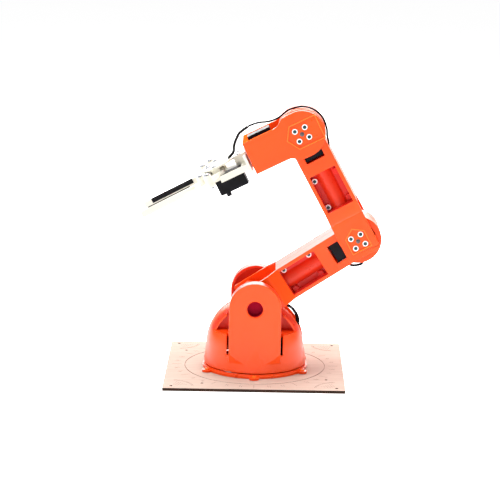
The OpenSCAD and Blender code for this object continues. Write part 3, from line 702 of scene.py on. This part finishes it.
def make_screws():
    template = screw_template()
    pivots = {"upper": SHOULDER, "fore": ELBOW, "wrist": WRIST}
    for node, axis in SCREW_AXES.items():
        piece = fine_screws(node, axis, template)
        pivot = pivots.get(node.split("_")[0])
        if pivot:
            def middle(p, n, pivot=pivot):
                """The screw on the axis, which is brighter than those round it."""
                return math.hypot(p.x - pivot.x, p.z - pivot.z) < 0.0045

            shade_faces(piece, SCREW_BLACKENED_AND_SHADE, lambda p, n: True)
            shade_faces(piece, SCREW_GREY, middle)
        if node.startswith("finger_screws"):
            # painted shade: the lower heads, below the palm, take the dark screw colour
            shade_faces(piece, SCREW_BLACKENED_AND_SHADE, lambda p, n: (p - WRIST).dot(PALM_UP) < -0.006)
        # the ring screws' heads are orange, in the ridges' lighter orange, a painted highlight
        if node == "base_ring_screws":
            piece.data.materials[0] = HIGHLIGHT_ORANGE


# ---- leads ----


def smooth_path(points, steps=8):
    """Points along a smooth curve through the given ones."""
    path = []
    last = len(points) - 1
    for i in range(last):
        a, b = points[max(i - 1, 0)], points[i]
        c, d = points[i + 1], points[min(i + 2, last)]
        for k in range(steps):
            t = k / steps
            path.append((2 * b + (c - a) * t + (2 * a - 5 * b + 4 * c - d) * t * t
                         + (3 * b - a - 3 * c + d) * t * t * t) / 2)
    path.append(points[-1])
    return path


def tube(work, path, radius, sides=14):
    """A round tube along path, closed at both ends."""
    turns = [math.tau * k / sides for k in range(sides)]
    last = len(path) - 1
    rings = []
    for i, centre in enumerate(path):
        ahead = (path[min(i + 1, last)] - path[max(i - 1, 0)]).normalized()
        side = ahead.cross(Vector((0, 1, 0))).normalized()
        up = side.cross(ahead)
        rays = [math.cos(t) * side + math.sin(t) * up for t in turns]
        rings.append([work.verts.new(centre + radius * ray) for ray in rays])
    for low, high in zip(rings, rings[1:]):
        for k in range(sides):
            after = (k + 1) % sides
            work.faces.new((low[k], low[after], high[after], high[k]))
    work.faces.new(list(reversed(rings[0])))
    work.faces.new(rings[-1])


def lead(name, radius, points, body, node, across=None):
    """A cable through points. across is (other body, start, end) for a cable that crosses a joint: such a cable is
    left in place on no body, and the tuple's values are not used.
    """
    path = smooth_path(points)
    work = bmesh.new()
    tube(work, path, radius)
    bmesh.ops.recalc_face_normals(work, faces=work.faces)
    mesh = to_mesh(work, name)
    mesh.shade_smooth()
    mesh.set_sharp_from_angle(angle=math.radians(50))
    piece = new_piece(name, mesh, None, "cable_rubber", node)
    if across:
        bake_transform(piece)
    else:
        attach(piece, body)


def make_leads():
    # from the palm back into the wrist
    grip = [hand(*p) for p in (
        (78.4, 14, 7.7), (78.2, 14, 8.8), (72.2, 12.5, 11.6), (67.9, 9, 18),
        (60.6, 5, 24.5), (55.4, 3.5, 26.4), (48.4, 2, 27.5))]
    lead("grip_lead_fine", 0.0014, grip, "palm", "grip_lead",
         ("wrist", hand(76, 14, 9), hand(52, 3, 27)))

    # up from the wrist, over the drum and into the forearm
    reach = 25.7
    turns = [math.radians(91 + 27.2 * k) for k in range(5)]
    down = [(29.2, -2, 47.1), (29.2, -2, 43.3), (27.8, -3, 35), (25.2, -5, 27.8),
            (23.7, -7, 20.5), (23.7, -8, 13.5), (25.3, -8, 6)]
    round_drum = [(reach * math.sin(t), -8, reach * math.cos(t)) for t in turns]
    inward = [(-15.5, -8, -21.4), (-19.2, -8, -20.3), (-23, -8, -19.3), (-26, -8, -17.6)]
    wrist = [by_wrist(*p) for p in down + round_drum + inward]
    lead("wrist_lead_fine", 0.001, wrist, "wrist", "wrist_lead",
         ("forearm", by_wrist(25, -5, 27), by_wrist(-23, -8, -20)))

    # a short loop under the elbow
    elbow = [by_elbow(*p) for p in (
        (-21.7, -11, -16.6), (-21.5, -11, -18.6), (-21, -11, -20.6),
        (-18.8, -11, -22.6), (-15.8, -11, -24.2), (-12.8, -11, -25.2),
        (-10.4, -11, -25.4), (-8.6, -11, -24.4), (-7.2, -11, -22.4))]
    lead("elbow_lead_fine", 0.0013, elbow, "upper_arm", "elbow_lead")

    # two wires from the upper arm down into the dome
    near_wire = [(33.9, -4, 88.2), (31.2, -4, 86.4), (30.5, -4, 78), (33, -5, 70.5), (39, -6, 66.5),
                 (44, -6, 59), (45, -5, 51), (42, -4, 44), (39.5, -3, 37)]
    far_wire = [(33.9, 4, 88.2), (30.8, 4, 86.2), (29.5, 4, 77), (31.5, 4, 70), (38, 4, 65),
                (43, 5, 57), (43.5, 4, 50), (41, 3, 43), (39.5, 2.5, 37)]
    for name, wire in (("shoulder_lead_near", near_wire), ("shoulder_lead_far", far_wire)):
        lead(name, 0.0013, [Vector(p) * MM for p in wire], "upper_arm", "shoulder_lead",
             ("turntable", Vector((0.031, 0, 0.084)), Vector((0.042, 0, 0.05))))


# ---- thin ridges round the sunk fields, in a lighter orange that is a painted highlight ----

CHEEK_FACE = -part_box("upper_near")[0].y
RIDGE_WIDTH = 0.0009
RIDGE_RISE = 0.0004
# across in half widths and out in rises, from the sunk edge over the crest to the other edge
RIDGE_SECTION = ((-1.3, -0.4), (-1, 0.7), (-0.4, 1), (0.4, 1), (1, 0.7), (1.3, -0.4))


def ridge(name, body, corners):
    """A closed raised line through corners, which lie on a near face, coloured with a painted highlight."""
    work = bmesh.new()
    count = len(corners)
    rings = []
    for k, corner in enumerate(corners):
        before = (corner - corners[k - 1]).normalized()
        after = (corners[(k + 1) % count] - corner).normalized()
        across = (before + after).normalized().cross(Vector((0, 1, 0)))
        stretch = RIDGE_WIDTH / 2 / max(0.5, math.sqrt((1 + before.dot(after)) / 2))
        out = Vector((0, -RIDGE_RISE, 0))
        rings.append([work.verts.new(corner + across * stretch * i + out * j)
                      for i, j in RIDGE_SECTION])
    sides = len(RIDGE_SECTION)
    for k in range(count):
        low, high = rings[k], rings[(k + 1) % count]
        for i in range(sides):
            after = (i + 1) % sides
            work.faces.new((low[i], low[after], high[after], high[i]))
    bmesh.ops.recalc_face_normals(work, faces=work.faces)
    new_piece(name, to_mesh(work, name), body, "orange_plastic", material=HIGHLIGHT_ORANGE)


def make_ridges():
    face = Vector((0, -CHEEK_FACE, 0))
    house = ((-9.9, -10.7), (7.2, -10.7), (14.7, 0), (7.2, 10.7), (-9.9, 10.7))
    links = (("upper_ridge", "upper_arm", SHOULDER, UPPER_ALONG, UPPER_UP),
             ("fore_ridge", "forearm", ELBOW, FORE_ALONG, FORE_UP))
    for name, body, pivot, along, up in links:
        ridge(name, body, [pivot + face + (along * u + up * v) * MM for u, v in house])
    # on the wrist the back corners lie just inside the cheek's round edge
    half, rim = 12.7, 24.0
    back = 0.4 - math.sqrt(rim * rim - half * half)
    field = ((back, -half), (8.5, -half), (16.4, 0), (8.5, half), (back, half))
    ridge("wrist_ridge", "wrist", [hand(ahead, CHEEK_FACE / MM, up) for ahead, up in field])


# ---- engraving on the board ----

BOARD_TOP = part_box("base_board")[1].z
MARK_LOW, MARK_HIGH = BOARD_TOP - 0.00005, BOARD_TOP + 0.00004
DIAL_R = 0.0735  # the circle cut in the CAD board
LINE = 0.00038


def scorch_strip(work, start, end, width=LINE):
    """A thin raised line on the board between two points."""
    start, end = Vector(start), Vector(end)
    along = (end - start).normalized()
    across = Vector((-along.y, along.x)) * width / 2
    corners = [start - across, end - across, end + across, start + across]
    bottom = [work.verts.new((*c, MARK_LOW)) for c in corners]
    top = [work.verts.new((*c, MARK_HIGH)) for c in corners]
    work.faces.new(list(reversed(bottom)))
    work.faces.new(top)
    for k in range(4):
        after = (k + 1) % 4
        work.faces.new((bottom[k], bottom[after], top[after], top[k]))


def scorch_arc(work, centre, radius, first, last, steps):
    turns = [first + (last - first) * k / steps for k in range(steps + 1)]
    points = [(centre[0] + radius * math.cos(t), centre[1] + radius * math.sin(t)) for t in turns]
    for start, end in zip(points, points[1:]):
        scorch_strip(work, start, end)


def make_engraving():
    """Generic laser marks: a circle, ticks round it, and arcs and dots in each corner."""
    work = bmesh.new()
    scorch_arc(work, (0, 0), DIAL_R + 0.0004, 0, math.tau, 144)
    for step in range(36):
        turn = math.radians(10 * step)
        long = step % 3 == 0
        inner, outer = (0.0775, 0.0875) if long else (0.0795, 0.0845)
        ray = Vector((math.cos(turn), math.sin(turn)))
        scorch_strip(work, ray * inner, ray * outer)
        if not long:
            side = Vector((-ray.y, ray.x)) * 0.0022
            scorch_strip(work, ray * 0.0815 + side, ray * 0.0855 + side)
    corner = abs(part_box("base_board")[0].x) - 0.006
    pitch = 0.0028
    for quarter in range(4):
        inward = math.radians(225 + 90 * quarter)
        ray = Vector((math.cos(inward), math.sin(inward)))
        side = Vector((-ray.y, ray.x))
        place = Vector((math.copysign(corner, -ray.x), math.copysign(corner, -ray.y)))
        for radius in (0.024, 0.0255):
            scorch_arc(work, place, radius, inward - 0.62, inward + 0.62, 18)
        for row in range(4):
            for k in range(3 + row):
                spread = (k - (2 + row) / 2) * pitch
                dot = place + ray * (0.0095 + pitch * row) + side * spread
                scorch_strip(work, dot - side * 0.0005, dot + side * 0.0005, 0.0007)
    mesh = to_mesh(work, "board_engraving")
    new_piece("board_engraving", mesh, "base", "plywood", material=scorch())


make_screws()
make_leads()
make_ridges()
make_engraving()
